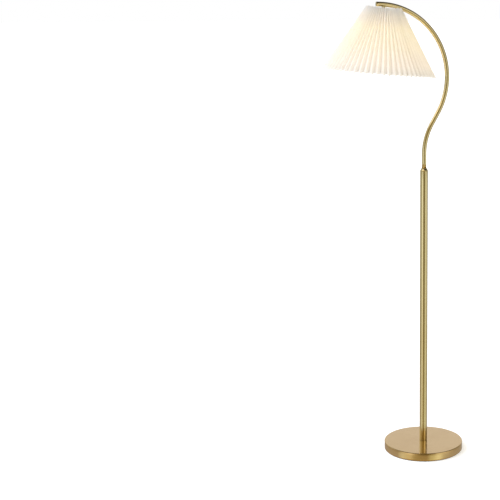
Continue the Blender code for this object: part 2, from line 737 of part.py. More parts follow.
def build_shade(head):
    turned("shade_fitter_ring",
           tube_profile(FITTER_RADIUS, BODY_RADIUS + THREAD_GAP, -FITTER_TOP, -FITTER_BOTTOM),
           "white_wire", ROUND_MEDIUM, parent=head)
    ring("shade_top_ring", TOP_RING[0], RING_WIRE, TOP_RING[1], "white_wire", head)
    ring("shade_bottom_ring", BOTTOM_RING[0], RING_WIRE, BOTTOM_RING[1], "white_wire", head)
    for i in range(SPOKES):
        angle = math.pi + 2 * math.pi * i / SPOKES
        spoke = trimmed(polar(FITTER_RADIUS, angle, FITTER_TOP),
                        polar(TOP_RING[0], angle, TOP_RING[1]),
                        SPOKE_WIRE + GAP, RING_WIRE + GAP)
        wire(f"shade_spoke_{i + 1}", spoke, SPOKE_WIRE, "white_wire", parent=head)
        rib = trimmed(polar(TOP_RING[0], angle, TOP_RING[1]),
                      polar(BOTTOM_RING[0], angle, BOTTOM_RING[1]),
                      RING_WIRE + GAP, RING_WIRE + GAP)
        wire(f"shade_rib_{i + 1}", rib, RIB_WIRE, "white_wire", parent=head)
    build_fabric(head)


def ridge_top(angle):
    """Top end of a ridge, lower along the same line where the arm passes over it."""
    radius, depth = SHADE_RIDGE_TOP
    under_arm = math.cos(angle) > 0 and abs(radius * math.sin(angle)) < ARM_RADIUS
    if not under_arm:
        return radius, depth
    flare = (SHADE_RIDGE_BOTTOM[0] - radius) / (SHADE_RIDGE_BOTTOM[1] - depth)
    return radius + (SHADE_DIP - depth) * flare, SHADE_DIP


def build_fabric(head):
    """One pleated sheet: two rims of points, ridge and valley by turns, joined by panels."""
    count = 2 * PLEATS
    mesh = bpy.data.meshes.new("shade_fabric")
    bm = bmesh.new()
    top = []
    bottom = []
    for i in range(count):
        angle = 2 * math.pi * i / count
        is_valley = i % 2 == 0
        top_end = SHADE_VALLEY_TOP if is_valley else ridge_top(angle)
        bottom_end = SHADE_VALLEY_BOTTOM if is_valley else SHADE_RIDGE_BOTTOM
        top.append(bm.verts.new(polar(top_end[0], angle, top_end[1])))
        bottom.append(bm.verts.new(polar(bottom_end[0], angle, bottom_end[1])))
    for i in range(count):
        following = (i + 1) % count
        bm.faces.new((top[i], bottom[i], bottom[following], top[following]))
    bm.to_mesh(mesh)
    bm.free()
    fabric = add_part("shade_fabric", mesh, "fabric", parent=head)
    thickness = fabric.modifiers.new("thickness", "SOLIDIFY")
    thickness.thickness = FABRIC
    thickness.offset = -1.0


# ---------------------------------------------------------------- cable inside the lamp
CABLE_BEND = 0.005
CABLE_LOW = 0.0053                    # height of the cable's centre under the tie rod
SHEATH_END = 0.0156                   # the sheath stops this far before the shade's axis
CORE_BEND = 0.005
CORE_TAIL = 0.0192                    # where the cores leave the nipple and part


def build_cable(arm_root, head):
    """The cable from the gland to the holder. It is in two runs that meet at the swivel,
    and its two cores run on through the head."""
    start_y = FOOT_RADIUS - COVER_WALL - 0.0045
    route = [(0, start_y, GLAND_HEIGHT), (0, 0.125, GLAND_HEIGHT - 0.0006),
             (0, 0.060, CABLE_LOW + 0.002), (0, 0.020, CABLE_LOW), (0, CABLE_BEND, CABLE_LOW)]
    bend_steps = 5
    for i in range(1, bend_steps + 1):
        angle = math.pi / 2 * i / bend_steps
        route.append((0, CABLE_BEND * (1 - math.sin(angle)),
                      CABLE_LOW + CABLE_BEND * (1 - math.cos(angle))))
    route += [(0, 0, 0.5), (0, 0, CABLE_SPLIT_Z - GAP)]
    wire("post_cable", route, CABLE_RADIUS, "cable")

    stations = arm_stations(ARM_LENGTH - HEAD_FROM_TIP - SHEATH_END)
    arm_route = [Vector((0, 0, CABLE_SPLIT_Z - ARM_FOOT_Z))]
    arm_route += [arm_local(s) for s in stations]
    wire("arm_cable", arm_route, CABLE_RADIUS, "cable", parent=arm_root)

    core_steps = 5
    for number, side, finish in ((1, 1, "core_brown"), (2, -1, "core_blue")):
        y = side * CORE_SPACING
        core = [(SHEATH_END - GAP, y, -0.0005), (2 * CORE_BEND, y, 0.0001)]
        for i in range(core_steps + 1):
            angle = math.pi / 2 * i / core_steps
            core.append((CORE_BEND * (1 - math.sin(angle)), y,
                         GAP - CORE_BEND * (1 - math.cos(angle))))
        core += [(0, y, -CORE_TAIL), (0, side * TERMINAL_OFFSET / 2, -CORE_TAIL - 0.002),
                 (0, side * TERMINAL_OFFSET, -CORE_TAIL - 0.004),
                 (0, side * TERMINAL_OFFSET, -(INSULATOR_TOP - 2 * GAP - TERMINAL_HEIGHT))]
        wire(f"cable_core_{number}", core, CORE_RADIUS, finish, parent=head)


build_foot()
build_post()
ARM_ROOT = add_empty("arm_swivel", (0, 0, ARM_FOOT_Z))
HEAD_ROOT = add_empty("head_frame", HEAD_POINT - Vector((0, 0, ARM_FOOT_Z)), HEAD_TILT, ARM_ROOT)
build_swivel(ARM_ROOT)
build_arm(ARM_ROOT, HEAD_ROOT)
build_head(HEAD_ROOT)
build_bulb(HEAD_ROOT)
build_shade(HEAD_ROOT)
build_cable(ARM_ROOT, HEAD_ROOT)
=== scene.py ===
"""Looks of the arc floor lamp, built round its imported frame. Metres, +Z up.

The camera comes first, then the shapes that replace the coarse frame parts, the
materials, the studio and the floor.
"""
import json
import math
import random

import bmesh
import bpy
from mathutils import Matrix, Vector

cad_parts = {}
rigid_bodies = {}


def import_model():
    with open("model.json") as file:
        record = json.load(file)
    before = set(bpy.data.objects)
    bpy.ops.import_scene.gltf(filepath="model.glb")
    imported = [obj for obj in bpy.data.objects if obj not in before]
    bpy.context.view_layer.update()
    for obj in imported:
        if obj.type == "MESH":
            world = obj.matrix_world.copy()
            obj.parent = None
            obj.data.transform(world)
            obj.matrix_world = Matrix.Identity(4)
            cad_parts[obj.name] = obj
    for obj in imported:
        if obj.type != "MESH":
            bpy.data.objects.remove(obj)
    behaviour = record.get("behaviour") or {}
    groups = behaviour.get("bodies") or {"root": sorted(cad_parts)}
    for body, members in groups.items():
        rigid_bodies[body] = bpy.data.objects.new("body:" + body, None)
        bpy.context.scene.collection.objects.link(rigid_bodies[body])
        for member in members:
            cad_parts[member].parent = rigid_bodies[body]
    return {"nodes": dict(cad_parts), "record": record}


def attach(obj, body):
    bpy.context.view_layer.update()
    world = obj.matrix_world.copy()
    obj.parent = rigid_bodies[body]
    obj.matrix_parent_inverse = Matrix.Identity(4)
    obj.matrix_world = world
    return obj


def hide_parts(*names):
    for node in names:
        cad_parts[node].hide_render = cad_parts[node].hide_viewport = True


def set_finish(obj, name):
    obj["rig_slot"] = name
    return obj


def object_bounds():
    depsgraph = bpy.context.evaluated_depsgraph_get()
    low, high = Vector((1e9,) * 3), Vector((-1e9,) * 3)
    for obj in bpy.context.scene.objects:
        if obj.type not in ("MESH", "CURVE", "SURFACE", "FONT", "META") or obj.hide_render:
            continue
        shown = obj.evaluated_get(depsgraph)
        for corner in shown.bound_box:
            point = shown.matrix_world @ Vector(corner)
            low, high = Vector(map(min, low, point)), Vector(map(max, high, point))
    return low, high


for leftover in list(bpy.data.objects):
    bpy.data.objects.remove(leftover, do_unlink=True)
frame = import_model()
CAD_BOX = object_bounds()
SCENE = bpy.context.scene
ROOT = "foot_and_post"
ARM = "arm_and_shade"

# ---------------------------------------------------------------- dimensions, as in the CAD
FOOT_RADIUS = 0.1445
FOOT_TOP = 0.031
FOOT_UNDER = 0.0028
FOOT_EDGE = 0.0022
COVER_WALL = 0.0012
ROD_HOLE = 0.0053
POST_RADIUS = 0.014
POST_INNER = 0.0128
POST_FOOT = 0.0313
POST_TOP = 1.040
COLLAR_TOP = 1.0505
COLLAR_TOP_RADIUS = 0.0095
COLLAR_BORE = 0.0073
ARM_FOOT_Z = 1.052
ARM_RADIUS = 0.008
ARM_WALL = 0.001
ARM_RUNS = (                          # (length, change of lean)
    (0.049, 0.0),
    (0.212 * math.radians(30.0), math.radians(30.0)),
    (0.044, 0.0),
    (0.252 * math.radians(118.9), math.radians(-118.9)),
    (0.010, 0.0),
)
ARM_LENGTH = sum(length for length, turn in ARM_RUNS)
HEAD_FROM_TIP = 0.027

RIDGE_TOP = (0.0615, 0.0090)          # (radius, depth below the arm's centre line)
RIDGE_BOTTOM = (0.2000, 0.2358)
VALLEY_TOP = (0.0533, 0.0160)
VALLEY_BOTTOM = (0.1888, 0.2305)
RIDGE_DIP = 0.0180                    # the same, where the arm presses the ridges down
PRESSED = 0.0083                      # distance from the arm's plane up to which it does so
UNPRESSED = 0.0132                    # and from which they stand at full height
PLEATS = 62
SHEET_CUT = (1.575, 0.262)
WIRE = 0.0016                         # radius of the rings' wire
TOP_RING = (0.0519, 0.0190)
BOTTOM_RING = (0.1826, 0.2260)

# ---------------------------------------------------------------- camera
CAMERA_PLACE = (-1.3252, -3.9946, 1.6080)
CAMERA_HEADING = math.radians(16.199)   # from +Y towards +X
CAMERA_DOWN = math.radians(11.484)
CAMERA_ROLL = math.radians(-0.257)
CAMERA_LENS = 85.591
CAMERA_SHIFT = -0.26                    # the lamp stands at the photograph's right
SENSOR = 36.0
FAR_CLIP = 200.0


def make_camera():
    forward = Vector((math.sin(CAMERA_HEADING) * math.cos(CAMERA_DOWN),
                      math.cos(CAMERA_HEADING) * math.cos(CAMERA_DOWN),
                      -math.sin(CAMERA_DOWN)))
    level = Vector((math.cos(CAMERA_HEADING), -math.sin(CAMERA_HEADING), 0.0))
    upright = level.cross(forward)
    right = level * math.cos(CAMERA_ROLL) + upright * math.sin(CAMERA_ROLL)
    up = right.cross(forward)
    data = bpy.data.cameras.new("camera")
    data.lens = CAMERA_LENS
    data.sensor_width = SENSOR
    data.shift_x = CAMERA_SHIFT
    data.clip_end = FAR_CLIP
    camera = bpy.data.objects.new("camera", data)
    SCENE.collection.objects.link(camera)
    turn = Matrix((right, up, -forward)).transposed()
    camera.matrix_world = Matrix.Translation(CAMERA_PLACE) @ turn.to_4x4()
    SCENE.camera = camera


make_camera()


# ---------------------------------------------------------------- the arm and the head
def arm_at(distance):
    """Point on the arm's centre line and its lean, the angle from +Z towards +X."""
    x, z, lean = 0.0, ARM_FOOT_Z, 0.0
    for length, turn in ARM_RUNS:
        part = min(distance, length)
        if turn == 0.0:
            x += part * math.sin(lean)
            z += part * math.cos(lean)
        else:
            radius = length / turn
            end = lean + part / radius
            x += radius * (math.cos(lean) - math.cos(end))
            z += radius * (math.sin(end) - math.sin(lean))
            lean = end
        distance -= part
        if distance <= 0.0:
            break
    return Vector((x, 0.0, z)), lean


HEAD_POINT, HEAD_LEAN = arm_at(ARM_LENGTH - HEAD_FROM_TIP)
HEAD = Matrix.Translation(HEAD_POINT) @ Matrix.Rotation(HEAD_LEAN + math.pi / 2, 4, "Y")


# ---------------------------------------------------------------- mesh helpers
MERGE = 0.000005                      # points nearer to each other than this are one


def new_piece(name, bm, body, nodes, slot, place=None, sharp=40.0):
    mesh = bpy.data.meshes.new(name)
    bmesh.ops.recalc_face_normals(bm, faces=bm.faces)
    bm.to_mesh(mesh)
    bm.free()
    mesh.shade_smooth()
    mesh.set_sharp_from_angle(angle=math.radians(sharp))
    piece = bpy.data.objects.new(name, mesh)
    SCENE.collection.objects.link(piece)
    if place is not None:
        piece.matrix_world = place
    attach(piece, body)
    if nodes:
        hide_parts(*nodes)
    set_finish(piece, slot)
    return piece


def bridge(bm, uv, first, second, u_step, v_low, v_high, close):
    """Joins two rows of vertices with quads and lays their UVs out in metres."""
    count = len(first)
    for i in range(count if close else count - 1):
        j = (i + 1) % count
        face = bm.faces.new((first[i], second[i], second[j], first[j]))
        for loop, at in zip(face.loops, ((i, v_low), (i, v_high), (i + 1, v_high),
                                         (i + 1, v_low))):
            loop[uv].uv = (at[0] * u_step, at[1])


def lathe(profile, segments, close=True):
    """A turned shape. The profile (radius, z) runs down its outside and back up its bore."""
    bm = bmesh.new()
    uv = bm.loops.layers.uv.new("metres")
    rows = []
    for radius, z in profile:
        row = []
        for i in range(segments):
            angle = math.tau * i / segments
            row.append(bm.verts.new((radius * math.cos(angle), radius * math.sin(angle), z)))
        rows.append(row)
    widest = max(radius for radius, z in profile)
    step = math.tau * widest / segments
    pairs = list(zip(range(len(rows) - 1), range(1, len(rows))))
    if close:
        pairs.append((len(rows) - 1, 0))
    travelled = 0.0
    for a, b in pairs:
        length = math.dist(profile[a], profile[b])
        bridge(bm, uv, rows[a], rows[b], step, travelled, travelled + length, True)
        travelled += length
    bmesh.ops.remove_doubles(bm, verts=bm.verts, dist=MERGE)
    return bm


def fillet(centre_radius, centre_z, radius, start, end, steps=8):
    """Points of a profile's arc, angles in degrees from the outward direction."""
    points = []
    for i in range(steps + 1):
        angle = math.radians(start + (end - start) * i / steps)
        points.append((centre_radius + radius * math.cos(angle),
                       centre_z + radius * math.sin(angle)))
    return points


def swept_ring(radius, wire, depth, major, minor):
    """A wire ring: major steps round the ring, minor steps round the wire."""
    bm = bmesh.new()
    uv = bm.loops.layers.uv.new("metres")
    rows = []
    for j in range(minor):
        turn = math.tau * j / minor
        reach = radius + wire * math.cos(turn)
        row = []
        for i in range(major):
            angle = math.tau * i / major
            row.append(bm.verts.new((reach * math.cos(angle), reach * math.sin(angle),
                                     -depth + wire * math.sin(turn))))
        rows.append(row)
    around = math.tau * wire / minor
    for j in range(minor):
        bridge(bm, uv, rows[j], rows[(j + 1) % minor], math.tau * radius / major,
               j * around, (j + 1) * around, True)
    return bm


# ---------------------------------------------------------------- foot, post and collar
def make_foot():
    edge = FOOT_EDGE
    hem = 0.0006
    profile = [(ROD_HOLE, FOOT_TOP), (0.06, FOOT_TOP), (0.11, FOOT_TOP)]
    profile += fillet(FOOT_RADIUS - edge, FOOT_TOP - edge, edge, 90, 0, 10)
    profile += [(FOOT_RADIUS, 0.020), (FOOT_RADIUS, 0.010)]
    profile += fillet(FOOT_RADIUS - hem, FOOT_UNDER + hem, hem, 0, -90, 4)
    profile += [(FOOT_RADIUS - COVER_WALL, FOOT_UNDER)]
    profile += fillet(FOOT_RADIUS - edge, FOOT_TOP - edge, edge - COVER_WALL, 0, 90, 4)
    profile += [(ROD_HOLE, FOOT_TOP - COVER_WALL)]
    return new_piece("foot_cover", lathe(profile, 256), ROOT, ["base_cover"], "satin_brass",
                     sharp=50.0)


def make_post():
    lip = 0.0005
    steps = 24
    low = POST_FOOT + lip
    profile = [(POST_INNER, POST_TOP)]
    profile += fillet(POST_RADIUS - lip, POST_TOP - lip, lip, 90, 0, 4)
    profile += [(POST_RADIUS, POST_TOP - lip + (low - POST_TOP + lip) * i / steps)
                for i in range(1, steps)]
    profile += fillet(POST_RADIUS - lip, low, lip, 0, -90, 4)
    profile += [(POST_INNER, POST_FOOT)]
    return new_piece("post_tube_turned", lathe(profile, 96), ROOT, ["post_tube"], "brass")


def make_collar():
    """The reducer: a short parallel land, a shoulder up to the swivel, and a spigot below."""
    seam = 0.0003                     # fine gap to the post
    land = POST_TOP + seam
    land_height = 0.0022
    spigot = POST_INNER - seam
    spigot_end = POST_TOP - 0.030
    top_edge = 0.0005
    shoulder_edge = 0.0008
    profile = [(COLLAR_BORE, COLLAR_TOP)]
    profile += fillet(COLLAR_TOP_RADIUS - top_edge, COLLAR_TOP - top_edge, top_edge, 90, 10, 4)
    profile += fillet(POST_RADIUS - shoulder_edge, land + land_height, shoulder_edge, 60, 0, 5)
    profile += [(POST_RADIUS, land + 0.0004), (POST_RADIUS - seam, land), (spigot, land),
                (spigot, spigot_end), (COLLAR_BORE, spigot_end)]
    return new_piece("collar_turned", lathe(profile, 96), ROOT, ["post_collar"], "brass")


# ---------------------------------------------------------------- arm
def make_arm():
    sides = 48
    sideways = Vector((0, 1, 0))
    bend_step = math.radians(2.0)
    stations = [0.0]
    start = 0.0
    for length, turn in ARM_RUNS:
        steps = max(3, math.ceil(abs(turn) / bend_step))
        stations += [start + length * i / steps for i in range(1, steps + 1)]
        start += length
    bm = bmesh.new()
    uv = bm.loops.layers.uv.new("metres")
    rows = []
    for distance in stations:
        centre, lean = arm_at(distance)
        across = Vector((math.cos(lean), 0.0, -math.sin(lean)))
        row = []
        for i in range(sides):
            angle = math.tau * i / sides
            outward = across * math.cos(angle) + sideways * math.sin(angle)
            row.append(bm.verts.new(centre + ARM_RADIUS * outward))
        rows.append(row)
    for a in range(len(rows) - 1):
        bridge(bm, uv, rows[a + 1], rows[a], math.tau * ARM_RADIUS / sides,
               stations[a + 1], stations[a], True)
    arm = new_piece("arm_tube_bent", bm, ARM, ["arm_tube"], "brass")
    wall = arm.modifiers.new("wall", "SOLIDIFY")
    wall.thickness = ARM_WALL
    wall.offset = -1.0
    return arm


def make_end_cap():
    tip, lean = arm_at(ARM_LENGTH)
    seam = 0.0003
    face = 0.0018
    spigot = ARM_RADIUS - ARM_WALL - 2 * seam
    edge = 0.0006
    plug_end = -0.007
    profile = [(0.0, face - 0.0001), (0.004, face)]
    profile += fillet(ARM_RADIUS - edge, face - edge, edge, 90, 0, 5)
    profile += [(ARM_RADIUS, seam), (spigot, seam), (spigot, plug_end), (0.0, plug_end)]
    place = Matrix.Translation(tip) @ Matrix.Rotation(lean, 4, "Y")
    return new_piece("arm_tip_cap", lathe(profile, 64, close=False), ARM, ["arm_end_cap"],
                     "brass", place)


# ---------------------------------------------------------------- holder and bulb
def make_holder_cap():
    hole = 0.0043
    top = 0.0123
    rim = 0.036
    wall = 0.0012
    radius = 0.021
    shoulder = 0.009
    dome = radius - shoulder
    bead = 0.0004
    profile = [(hole, -top)]
    profile += fillet(shoulder, -top - dome, dome, 90, 0, 14)
    profile += [(radius, -rim + 0.0035), (radius - bead, -rim + 0.003),
                (radius, -rim + 0.0025), (radius, -rim), (radius - wall, -rim)]
    profile += fillet(shoulder, -top - dome, dome - wall, 0, 90, 10)
    profile += [(hole, -top - wall)]
    return new_piece("holder_cap_spun", lathe(profile, 64), ARM, ["holder_cap"], "brass", HEAD)


def make_holder_body():
    """The holder's lower part, with the thread that its ring nut runs on."""
    radius = 0.0194
    root = 0.0187                     # radius at the thread's root
    bore = 0.0153
    top = 0.0333
    bottom = 0.070
    thread_start = top + 0.012
    thread_end = 0.060
    pitch = 0.0027
    edge = 0.0012
    chamfer = 0.0008
    profile = [(radius, -top)]
    z = thread_start
    while z < thread_end:
        profile += [(radius, -z), (root, -z - 0.45 * pitch), (root, -z - 0.6 * pitch)]
        z += pitch
    profile += [(radius, -thread_end - 0.0008), (radius, -bottom + 0.0014)]
    profile += fillet(radius - edge, -bottom + edge, edge, 0, -90, 4)
    profile += [(bore + chamfer, -bottom), (bore, -bottom + chamfer), (bore, -top)]
    return new_piece("holder_body_threaded", lathe(profile, 64), ARM, ["holder_body"],
                     "white_plastic", HEAD)


def make_ring_nut():
    """The ring nut, with a milled edge for the fingers."""
    top = 0.0389
    height = 0.0064
    inner = 0.0197
    outer = 0.0248
    ribs = 36
    per_rib = 4
    bevel = 0.0008
    groove = 0.0007
    bm = bmesh.new()
    uv = bm.loops.layers.uv.new("metres")
    levels = ((inner, 0.0, 0.0), (outer - bevel, 0.0, 0.0), (outer, bevel, 1.0),
              (outer, height - bevel, 1.0), (outer - bevel, height, 0.0), (inner, height, 0.0))
    rows = []
    for radius, drop, milled in levels:
        row = []
        for i in range(ribs * per_rib):
            angle = math.tau * i / (ribs * per_rib)
            reach = radius - groove * milled * (i % per_rib in (0, 1))
            row.append(bm.verts.new((reach * math.cos(angle), reach * math.sin(angle),
                                     -top - drop)))
        rows.append(row)
    for a in range(len(rows)):
        bridge(bm, uv, rows[a], rows[(a + 1) % len(rows)], 0.001, 0.0, 0.003, True)
    return new_piece("ring_nut_milled", bm, ARM, ["shade_ring_nut"], "white_plastic", HEAD)


BULB_RADIUS = 0.030
BULB_NECK = 0.0120
BULB_CENTRE = 0.1090
BULB_NECK_TOP = 0.0595
GLASS_WALL = 0.0010


def make_bulb():
    blend = BULB_RADIUS               # radius of the flare from the neck to the globe
    rise = math.sqrt((BULB_RADIUS + blend) ** 2 - (BULB_NECK + blend) ** 2)
    meet = math.degrees(math.asin(rise / (BULB_RADIUS + blend)))
    outer = [(BULB_NECK, -BULB_NECK_TOP)]
    outer += fillet(BULB_NECK + blend, -BULB_CENTRE + rise, blend, 180, 180 + meet, 14)
    outer += fillet(0.0, -BULB_CENTRE, BULB_RADIUS, meet, -90, 36)[1:]
    inner = fillet(0.0, -BULB_CENTRE, BULB_RADIUS - GLASS_WALL, -90, meet, 36)
    inner += fillet(BULB_NECK + blend, -BULB_CENTRE + rise, blend + GLASS_WALL,
                    180 + meet, 180, 14)[1:]
    inner += [(BULB_NECK - GLASS_WALL, -BULB_NECK_TOP)]
    profile = [(max(radius, 0.0), z) for radius, z in outer + inner]
    return new_piece("bulb_globe", lathe(profile, 64), ARM, ["bulb_glass"], "opal_glass", HEAD)


# ---------------------------------------------------------------- shade
CREASE_ROUND = 0.10                   # share of a panel taken up by each rounded crease
PANEL_BOW = 0.0008
RIDGE_SWAY = 0.0011
RIDGE_LEAN = 0.0016
LEAN_PIVOT = 0.4                      # share of the height where a leaning ridge stays put
RAGGED_EDGE = 0.0009


def make_rings():
    made = []
    for name, node, (radius, depth), steps in (
            ("top_ring_wire", "shade_top_ring", TOP_RING, 128),
            ("bottom_ring_wire", "shade_bottom_ring", BOTTOM_RING, 256)):
        made.append(new_piece(name, swept_ring(radius, WIRE, depth, steps, 12), ARM, [node],
                              "white_wire", HEAD))
    return made


def blended(low, high, value):
    share = min(1.0, max(0.0, (value - low) / (high - low)))
    return share * share * (3 - 2 * share)


def mixed(first, second, share):
    return tuple(a + (b - a) * share for a, b in zip(first, second))


def rounded(value):
    """value, eased off near zero, where the cloth turns over a crease."""
    return math.sqrt(value * value + CREASE_ROUND * CREASE_ROUND) - CREASE_ROUND


def ridge_top_at(turn):
    """(radius, depth) of a ridge's upper end. The arm presses down those it crosses."""
    if math.cos(turn) <= 0:
        return RIDGE_TOP
    side = abs(RIDGE_TOP[0] * math.sin(turn))
    flare = (RIDGE_BOTTOM[0] - RIDGE_TOP[0]) / (RIDGE_BOTTOM[1] - RIDGE_TOP[1])
    dip = (RIDGE_DIP - RIDGE_TOP[1]) * (1 - blended(PRESSED, UNPRESSED, side))
    return RIDGE_TOP[0] + dip * flare, RIDGE_TOP[1] + dip


def make_shade():
    """One pleated sheet. The creases are soft, the panels bow a little, and each pleat
    differs slightly from the next, as pressed cloth does."""
    chance = random.Random(11)
    per_pleat = 16
    rows = 40
    count = PLEATS * per_pleat
    sway = [chance.uniform(-1.0, 1.0) for _ in range(PLEATS)]
    ragged = [chance.uniform(-1.0, 1.0) for _ in range(PLEATS)]
    bow = [chance.uniform(0.3, 1.0) for _ in range(PLEATS)]
    lean = [chance.uniform(-1.0, 1.0) for _ in range(PLEATS)]
    bm = bmesh.new()
    uv = bm.loops.layers.uv.new("metres")
    grid = []
    for row in range(rows + 1):
        h = row / rows                                # 0 at the top ring, 1 at the bottom
        at_edge = abs(1 - 2 * h) > 0.9
        line = []
        for column in range(count):
            pleat, step = divmod(column, per_pleat)
            t = step / per_pleat                      # 0 and 1 in the valleys, 0.5 on the ridge
            turn = math.tau * (pleat + t) / PLEATS
            away = abs(2 * t - 1)                     # 0 on the ridge, 1 in the valley
            k = 0.5 * ((1 - rounded(away)) + rounded(1 - away))
            hump = math.sin(math.pi * t) ** 2
            radius, depth = mixed(mixed(VALLEY_TOP, VALLEY_BOTTOM, h),
                                  mixed(ridge_top_at(turn), RIDGE_BOTTOM, h), k)
            radius -= PANEL_BOW * bow[pleat] * math.sin(math.pi * k) * math.sin(math.pi * h)
            drift = RIDGE_SWAY * sway[pleat] * hump
            drift += RIDGE_LEAN * lean[pleat] * (h - LEAN_PIVOT) * hump
            beside_arm = math.cos(turn) > 0 and abs(RIDGE_TOP[0] * math.sin(turn)) <= UNPRESSED
            if at_edge and not (beside_arm and h <= 0.5):
                depth += RAGGED_EDGE * ragged[pleat] * hump * (1 - 2 * h)
            angle = turn + drift / radius
            line.append(bm.verts.new((radius * math.cos(angle), radius * math.sin(angle),
                                      -depth)))
        grid.append(line)
    for row in range(rows):
        v_low = SHEET_CUT[1] * row / rows
        bridge(bm, uv, grid[row], grid[row + 1], SHEET_CUT[0] / count, v_low,
               v_low + SHEET_CUT[1] / rows, True)
    shade = new_piece("pleated_shade", bm, ARM, ["shade_fabric"], "pleated_fabric", HEAD,
                      sharp=180.0)
    return shade


# ---------------------------------------------------------------- node helpers
def add_node(tree, kind, inputs=None, **settings):
    made = tree.nodes.new(kind)
    for key, value in settings.items():
        setattr(made, key, value)
    for key, value in (inputs or {}).items():
        if isinstance(value, bpy.types.NodeSocket):
            tree.links.new(value, made.inputs[key])
        else:
            made.inputs[key].default_value = value
    return made


def calc(tree, operation, *values, clamp=False):
    made = add_node(tree, "ShaderNodeMath", dict(enumerate(values)), operation=operation,
                    use_clamp=clamp)
    return made.outputs[0]


def fade(tree, value, low, high, start=0.0, end=1.0):
    """Maps value smoothly from low..high to start..end."""
    made = add_node(tree, "ShaderNodeMapRange",
                    {"Value": value, "From Min": low, "From Max": high, "To Min": start,
                     "To Max": end}, interpolation_type="SMOOTHSTEP")
    return made.outputs["Result"]


def ramp(tree, factor, stops, interpolation="EASE"):
    made = add_node(tree, "ShaderNodeValToRGB", {"Fac": factor})
    bar = made.color_ramp
    bar.interpolation = interpolation
    while len(bar.elements) < len(stops):
        bar.elements.new(0.5)
    for element, (position, colour) in zip(bar.elements, stops):
        element.position = position
        element.color = (*colour, 1.0)
    return made.outputs["Color"]


def mix_colour(tree, factor, first, second, mode="MIX"):
    made = add_node(tree, "ShaderNodeMix", data_type="RGBA", blend_type=mode)
    for index, value in ((0, factor), (6, first), (7, second)):
        if isinstance(value, bpy.types.NodeSocket):
            tree.links.new(value, made.inputs[index])
        elif index == 0:
            made.inputs[index].default_value = value
        else:
            made.inputs[index].default_value = (*value, 1.0)
    return made.outputs[2]


def new_material(name):
    material = bpy.data.materials.new(name)
    material.use_nodes = True
    tree = material.node_tree
    tree.nodes.clear()
    shader = add_node(tree, "ShaderNodeBsdfPrincipled")
    add_node(tree, "ShaderNodeOutputMaterial", {"Surface": shader.outputs[0]})
    return material, tree, shader


def stretched(tree, source, scale):
    made = add_node(tree, "ShaderNodeMapping", {"Vector": source, "Scale": scale})
    return made.outputs["Vector"]


def noise(tree, vector, scale=1.0, detail=3.0, roughness=0.5):
    made = add_node(tree, "ShaderNodeTexNoise",
                    {"Vector": vector, "Scale": scale, "Detail": detail,
                     "Roughness": roughness})
    return made.outputs["Fac"]


def bump(tree, height, strength, distance):
    made = add_node(tree, "ShaderNodeBump",
                    {"Height": height, "Strength": strength, "Distance": distance})
    return made.outputs["Normal"]


def coordinates(tree, kind="Object"):
    return add_node(tree, "ShaderNodeTexCoord").outputs[kind]


def split(tree, vector):
    return add_node(tree, "ShaderNodeSeparateXYZ", {"Vector": vector}).outputs


def weighted(tree, first, second, share):
    """share of first and the rest of second."""
    return calc(tree, "ADD", calc(tree, "MULTIPLY", first, share),
                calc(tree, "MULTIPLY", second, 1.0 - share))


# ---------------------------------------------------------------- materials
BRASS_TONE = (0.89, 0.79, 0.48)
BRASS_DEEP = (0.83, 0.72, 0.41)
SATIN_TONE = (0.88, 0.66, 0.34)
SATIN_DEEP = (0.80, 0.585, 0.29)
BRUSH_LINES = (40.0, 2600.0, 1.0)     # stretch of the brushing along each UV axis
BRUSH_CLOUDS = (30.0, 12.0, 1.0)
HAIRLINES = 900.0                     # per metre of radius, on the foot
HAIR_DEPTH = 0.00005

THREAD = 0.0005                       # two threads of the weave
SLUBS = (25.0, 900.0, 1.0)
STREAKS = (700.0, 18.0, 1.0)
CLOTH_RELIEF = 0.0002
CLOTH_PALE = (0.80, 0.77, 0.705)
CLOTH_DEEP = (0.735, 0.70, 0.635)
THROUGH_PALE = (0.97, 0.95, 0.90)
THROUGH_DEEP = (0.88, 0.855, 0.80)
CLOTH_THROUGH = 0.44                  # share of the light that goes through
PAINTED_CREASE_SHADE = (0.72, 0.70, 0.70)           # painted shade: darkens the light passed through in the inner creases
PAINTED_CREASE_SHADE_FADE = (0.30, 0.02)            # in pleats, from open cloth to the inner crease
SHADE_DEPTH = 0.24
PAINTED_TOP_SHADE = (                            # painted shade: dims and cools the light passed through near the top
    (0.03, (0.87, 0.91, 1.0)), (0.16, (0.93, 0.96, 1.0)), (0.36, (0.99, 1.0, 1.0)),
)
GLOW = (                              # (depth / SHADE_DEPTH, light bounced inside the shade)
    (0.10, (0.05, 0.06, 0.08)), (0.20, (0.08, 0.065, 0.05)), (0.36, (0.15, 0.12, 0.03)),
    (0.60, (0.20, 0.12, 0.0)), (0.80, (0.18, 0.08, 0.0)), (0.985, (0.04, 0.015, 0.0)),
)
BULB_GLOW = 5.0
BULB_COLOUR = (1.0, 0.70, 0.32)

